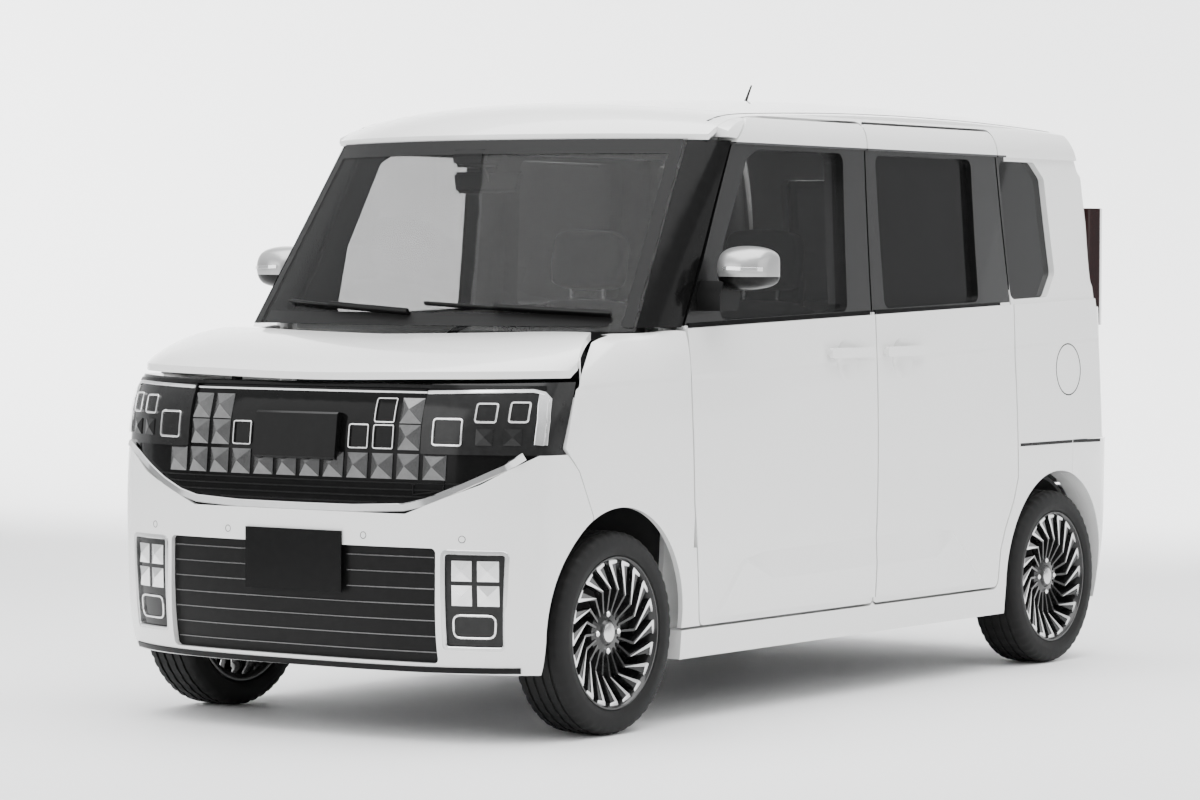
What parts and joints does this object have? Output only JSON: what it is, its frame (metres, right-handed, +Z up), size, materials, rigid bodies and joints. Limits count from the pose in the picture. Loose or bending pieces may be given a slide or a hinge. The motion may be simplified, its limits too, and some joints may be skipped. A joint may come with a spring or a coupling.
{
  "type": "tall light-class wagon car",
  "caption": "Small tall wagon car with hinged front doors, hood and tailgate, steered front wheels and a hollow cabin with seats.",
  "frame": {"origin": "centre of the bounding box at floor level", "axes": "+X to the car's left, -Y towards the front, +Z up"},
  "size_m": [1.8, 3.3948, 1.7848],
  "materials": {
    "black_trim": "gloss black",
    "cabin_plastic": "matt black",
    "engine_iron": "cast grey",
    "exhaust_steel": "dull steel",
    "lamp_lens": "clear lens over a dark housing",
    "plate_white": "plain white",
    "satin_silver": "satin silver",
    "seat_fabric": "dark woven fabric",
    "suspension_steel": "black coated",
    "tyre_rubber": "matt black rubber",
    "underbody_coat": "dark grey coat",
    "wheel_alloy": "dark alloy with machined spoke faces",
    "white_paint": "pearl white gloss",
    "window_glass": "tinted clear glass"
  },
  "bodies": {
    "root": {"body_side_left": "white_paint", "body_side_right": "white_paint", "bumper_front": "white_paint", "bumper_rear": "white_paint", "cowl": "black_trim", "dashboard": "cabin_plastic", "engine_block": "engine_iron", "exhaust": "exhaust_steel", "fender_left": "white_paint", "fender_right": "white_paint", "floor_pan": "underbody_coat", "fog_lamps": "lamp_lens", "front_frame": "suspension_steel", "front_pillars": "black_trim", "glass_side": "window_glass", "grille_lower": "black_trim", "grille_upper": "black_trim", "headlamps": "lamp_lens", "plate_front": "plate_white", "rear_axle": "suspension_steel", "roof": "white_paint", "seat_rear": "seat_fabric", "seats_front": "seat_fabric", "slide_door_left": "white_paint", "slide_door_right": "white_paint", "tail_lamps": "lamp_lens", "windshield": "window_glass"},
    "front_door_left": {"door_glass_left": "window_glass", "door_left": "white_paint", "mirror_left": "satin_silver"},
    "front_door_right": {"door_glass_right": "window_glass", "door_right": "white_paint", "mirror_right": "satin_silver"},
    "hood": {"hood": "white_paint"},
    "steer_left": {"knuckle_left": "suspension_steel"},
    "steer_right": {"knuckle_right": "suspension_steel"},
    "wheel_front_left": {"rim_front_left": "wheel_alloy", "tyre_front_left": "tyre_rubber"},
    "wheel_front_right": {"rim_front_right": "wheel_alloy", "tyre_front_right": "tyre_rubber"},
    "wheel_rear_left": {"rim_rear_left": "wheel_alloy", "tyre_rear_left": "tyre_rubber"},
    "wheel_rear_right": {"rim_rear_right": "wheel_alloy", "tyre_rear_right": "tyre_rubber"},
    "tailgate": {"tailgate": "white_paint", "tailgate_glass": "window_glass"}
  },
  "joints": [
    {"name": "hood_hinge", "type": "hinge", "parent": "root", "child": "hood", "pos_m": [0, -1.2, 1.015], "axis": [-1, 0, 0], "range_deg": [0, 45]},
    {"name": "tailgate_hinge", "type": "hinge", "parent": "root", "child": "tailgate", "pos_m": [0, 1.476, 1.716], "axis": [1, 0, 0], "range_deg": [0, 80]},
    {"name": "front_door_left_hinge", "type": "hinge", "parent": "root", "child": "front_door_left", "pos_m": [0.728, -0.832, 0.8], "axis": [0, 0, -1], "range_deg": [0, 62]},
    {"name": "steer_left", "type": "hinge", "parent": "root", "child": "steer_left", "pos_m": [0.575, -1.205, 0.19], "axis": [-0.157, 0, 0.9876], "range_deg": [-30, 30]},
    {"name": "wheel_front_left_spin", "type": "hinge", "parent": "steer_left", "child": "wheel_front_left", "pos_m": [0.645, -1.205, 0.277], "axis": [1, 0, 0], "continuous": true},
    {"name": "wheel_rear_left_spin", "type": "hinge", "parent": "root", "child": "wheel_rear_left", "pos_m": [0.645, 1.29, 0.277], "axis": [1, 0, 0], "continuous": true},
    {"name": "front_door_right_hinge", "type": "hinge", "parent": "root", "child": "front_door_right", "pos_m": [-0.728, -0.832, 0.8], "axis": [0, 0, 1], "range_deg": [0, 62]},
    {"name": "steer_right", "type": "hinge", "parent": "root", "child": "steer_right", "pos_m": [-0.575, -1.205, 0.19], "axis": [0.157, 0, 0.9876], "range_deg": [-30, 30]},
    {"name": "wheel_front_right_spin", "type": "hinge", "parent": "steer_right", "child": "wheel_front_right", "pos_m": [-0.645, -1.205, 0.277], "axis": [1, 0, 0], "continuous": true},
    {"name": "wheel_rear_right_spin", "type": "hinge", "parent": "root", "child": "wheel_rear_right", "pos_m": [-0.645, 1.29, 0.277], "axis": [1, 0, 0], "continuous": true}
  ],
  "couplings": [
    {"joint": "steer_right", "follows": "steer_left", "ratio": 1}
  ]
}
